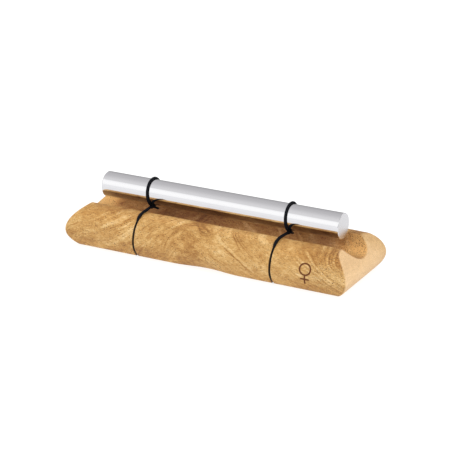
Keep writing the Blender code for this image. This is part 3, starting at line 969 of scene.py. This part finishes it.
# A span keeps to the block until a little past the rim, and takes the loop's lean from the hitch's edge on.
cord_finish = black_twine()
for side, plane in CORD_PLANES.items():
    under = gathered(f"{side}_under_cord", [under_rings(plane)], cord_finish)
    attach(under, "base")
    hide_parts(f"{side}_cord_wrap")
    for name, facing in (("front", 1), ("rear", -1)):
        span = gathered(f"{side}_{name}_cord", [span_rings(side, facing)], cord_finish)
        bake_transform(span)
        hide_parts(f"{side}_{name}_span")
    turns = [loop_rings(plane), hitch_rings(plane, 1), hitch_rings(plane, -1)]
    turns += [tail_rings(plane, *tail) for tail in zip(TAIL_DIRECTIONS, TAIL_LENGTHS[side])]
    loop = gathered(f"{side}_loop_cord", [lean(rings, side) for rings in turns], cord_finish)
    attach(loop, "sling")
    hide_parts(f"{side}_rod_loop")

# The studio, in metres: a pale floor that glows a little, three soft square lamps at the front left, at
# the right and above, and grey surroundings for the rod to mirror. The camera stands to the right of
# the front, a little above, with a long lens.
FLOOR_HALF = 3.0
FLOOR_DARK = (0.29, 0.29, 0.29, 1)
FLOOR_PALE = (0.31, 0.31, 0.31, 1)
FLOOR_GLOW = (1, 1, 1, 1)
FLOOR_MIRRORED = (0.7, 0.695, 0.71, 1)
LAMPS = {
    "key_light": {"place": (-0.6, -1.05, 0.7), "size": 0.6, "power": 8.2},
    "right_light": {"place": (0.9, -0.2, 1.0), "size": 0.6, "power": 5.0},
    "top_light": {"place": (0, 0.3, 1.3), "size": 1.0, "power": 2.4},
}
FRONT_GREY = (0.83, 0.82, 0.835, 1)
REAR_GREY = (0.585, 0.575, 0.592, 1)
FAR_REAR_GREY = (0.5, 0.493, 0.506, 1)
LOW_REAR_GREY = (0.3, 0.298, 0.304, 1)
LEFT_GREY = (0.5, 0.495, 0.49, 1)
WINDOW_EDGE = (0.97, 0.97, 0.985, 1)
WINDOW_GLOW = (1.18, 1.175, 1.175, 1)
TENT_EDGE = (0.5, 0.497, 0.505, 1)
TENT_GLOW = (1.05, 1.045, 1.05, 1)
CAMERA_PLACE = (0.3411, -0.6329, 0.2855)
CAMERA_AZIMUTH = 0.492361
CAMERA_ELEVATION = 0.360072
CAMERA_LENS = 133.43
CAMERA_SENSOR = 36.0


def pale_floor():
    """A matt pale floor with some light of its own, so that shadows stay faint; mirrored, it is dimmer."""
    paint, shader, place = finish("pale_floor", Roughness=0.9, Emission_Strength=0.78)
    dust = grain(scaled(place, 0.01), 3.0)
    mixed(dust, FLOOR_DARK, FLOOR_PALE).feed(shader, "Base Color")
    mirrored = place.node("ShaderNodeLightPath", {}, {}, "Is Glossy Ray")
    mixed(mirrored, FLOOR_GLOW, FLOOR_MIRRORED).feed(shader, "Emission Color")
    return paint


floor_mesh = bpy.data.meshes.new("floor")
floor_corners = np.array([(-1, -1, 0), (1, -1, 0), (1, 1, 0), (-1, 1, 0)]) * FLOOR_HALF
floor_mesh.from_pydata(floor_corners, [], [(0, 1, 2, 3)])
floor_mesh.materials.append(pale_floor())
floor = linked("floor", floor_mesh)


def soft_lamp(name, place, size, power):
    """A square soft light at a place, turned to face the block, seen by neither the camera nor the rod."""
    light = bpy.data.lights.new(name, "AREA")
    light.shape = "SQUARE"
    light.size = size
    light.energy = power
    lamp = linked(name, light)
    lamp.location = place
    lamp.rotation_euler = (-Vector(place)).to_track_quat("-Z", "Y").to_euler()
    lamp.visible_camera = False
    lamp.visible_glossy = False


for name, lamp in LAMPS.items():
    soft_lamp(name, **lamp)


def hump(value, middle, half):
    """1 at the middle, eased to 0 at half on either side."""
    return 1 - eased(squared((value - middle) / half), 0.0, 1.0)


def studio_world():
    """Grey surroundings by their direction, for the rod to mirror.

    They darken from the front to the rear, most in a strip low behind. A window glows in front, a bright
    tent stands on the right, both brightest about half way up, and the far left is dim. Each limit is one
    part of the unit vector that points there.
    """
    surroundings = bpy.data.worlds.new("studio")
    surroundings.use_nodes = True
    background = surroundings.node_tree.nodes["Background"]
    heading = Wire(background.outputs[0]).node("ShaderNodeTexCoord", {}, {}, "Generated")
    rightwards, rearwards, upwards = split(heading)
    grey = mixed(eased(rearwards, -0.6, 0.45), FRONT_GREY, REAR_GREY)
    grey = mixed(eased(rearwards, 0.45, 0.85), grey, FAR_REAR_GREY)
    low_rear = eased(rearwards, 0.6, 0.8) * (1 - eased(upwards, 0.2, 0.34))
    grey = mixed(low_rear, grey, LOW_REAR_GREY)
    window = (1 - eased(upwards, 0.68, 0.72)) * (1 - eased(rearwards, -0.4, -0.2))
    grey = mixed(window, grey, mixed(hump(upwards, 0.41, 0.36), WINDOW_EDGE, WINDOW_GLOW))
    tent = eased(rightwards, -0.3, -0.05)
    grey = mixed(tent, grey, mixed(hump(upwards, 0.52, 0.42), TENT_EDGE, TENT_GLOW))
    grey = mixed(1 - eased(rightwards, -0.75, -0.6), grey, LEFT_GREY)
    grey.feed(background, "Color")
    return surroundings


bpy.context.scene.world = studio_world()
bpy.context.scene.view_settings.view_transform = "Standard"

camera = linked("camera", bpy.data.cameras.new("camera"))
camera.data.lens = CAMERA_LENS
camera.data.sensor_width = CAMERA_SENSOR
camera.location = CAMERA_PLACE
camera.rotation_euler = (0.5 * np.pi - CAMERA_ELEVATION, 0, CAMERA_AZIMUTH)
bpy.context.scene.camera = camera
